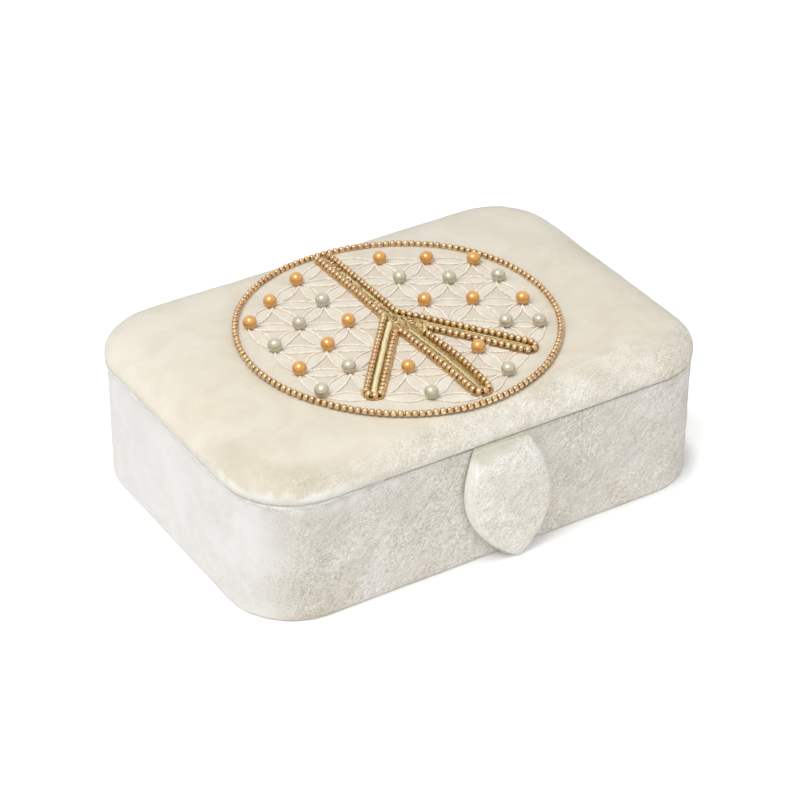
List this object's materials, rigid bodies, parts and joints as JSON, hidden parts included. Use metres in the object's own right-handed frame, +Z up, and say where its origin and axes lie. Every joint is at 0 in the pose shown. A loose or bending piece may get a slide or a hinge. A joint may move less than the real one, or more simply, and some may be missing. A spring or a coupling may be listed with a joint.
{
  "type": "velvet tarot box",
  "caption": "Rounded padded velvet keepsake box with a beaded medallion on its hinged pillow lid and a leaf-shaped magnetic tab.",
  "frame": {"origin": "middle of the underside, on the surface that the box stands on", "axes": "+X along the long front side, +Y towards the hinged back, +Z up"},
  "size_m": [0.2, 0.1462, 0.0688],
  "materials": {
    "velvet": "crushed cream velvet with a soft pile",
    "board": "raw grey-brown board",
    "wadding": "white polyester wadding",
    "lining": "short-pile cream lining cloth",
    "underside": "cream lining cloth on card",
    "medallion_cloth": "ivory satin, quilted and embroidered",
    "gold_bead": "antique gold metallic seed beads, polished",
    "bullion": "yellow gold metal bullion thread",
    "golden_pearl": "pearlescent, orange gold",
    "silver_pearl": "pearlescent, silver grey",
    "tape": "woven cotton tape",
    "steel": "nickel-plated"
  },
  "bodies": {
    "base": {"base_board": "board", "wall_board": "board", "wall_velvet": "velvet", "underside_sheet": "underside", "wall_lining": "lining", "floor_card": "board", "floor_pad": "lining", "wall_keeper": "steel", "hinge_tape_base": "tape"},
    "lid": {"lid_board": "board", "lid_wadding": "wadding", "lid_velvet": "velvet", "lid_lining": "lining", "medallion_cloth": "medallion_cloth", "bead_ring": "gold_bead", "sign_bead_row": "gold_bead", "braid_upright": "bullion", "braid_left": "bullion", "braid_right": "bullion", "hinge_tape_lid": "tape", "tab_tongue": "tape", "pearl_gold_01": "golden_pearl", "pearl_gold_02": "golden_pearl", "pearl_gold_03": "golden_pearl", "pearl_gold_04": "golden_pearl", "pearl_gold_05": "golden_pearl", "pearl_gold_06": "golden_pearl", "pearl_gold_07": "golden_pearl", "pearl_gold_08": "golden_pearl", "pearl_gold_09": "golden_pearl", "pearl_gold_10": "golden_pearl", "pearl_gold_11": "golden_pearl", "pearl_gold_12": "golden_pearl", "pearl_gold_13": "golden_pearl", "pearl_gold_14": "golden_pearl", "pearl_silver_01": "silver_pearl", "pearl_silver_02": "silver_pearl", "pearl_silver_03": "silver_pearl", "pearl_silver_04": "silver_pearl", "pearl_silver_05": "silver_pearl", "pearl_silver_06": "silver_pearl", "pearl_silver_07": "silver_pearl", "pearl_silver_08": "silver_pearl", "pearl_silver_09": "silver_pearl", "pearl_silver_10": "silver_pearl", "pearl_silver_11": "silver_pearl", "pearl_silver_12": "silver_pearl"},
    "tab": {"tab_velvet": "velvet", "tab_back_velvet": "velvet", "tab_board": "board", "tab_magnet": "steel", "tab_wadding": "wadding"}
  },
  "joints": [
    {"name": "lid_hinge", "type": "hinge", "parent": "base", "child": "lid", "pos_m": [0, 0.0703, 0.0513], "axis": [-1, 0, 0], "range_deg": [0, 170]},
    {"name": "tab_hinge", "type": "hinge", "parent": "lid", "child": "tab", "pos_m": [0, -0.0703, 0.0513], "axis": [-1, 0, 0], "range_deg": [0, 110]}
  ]
}
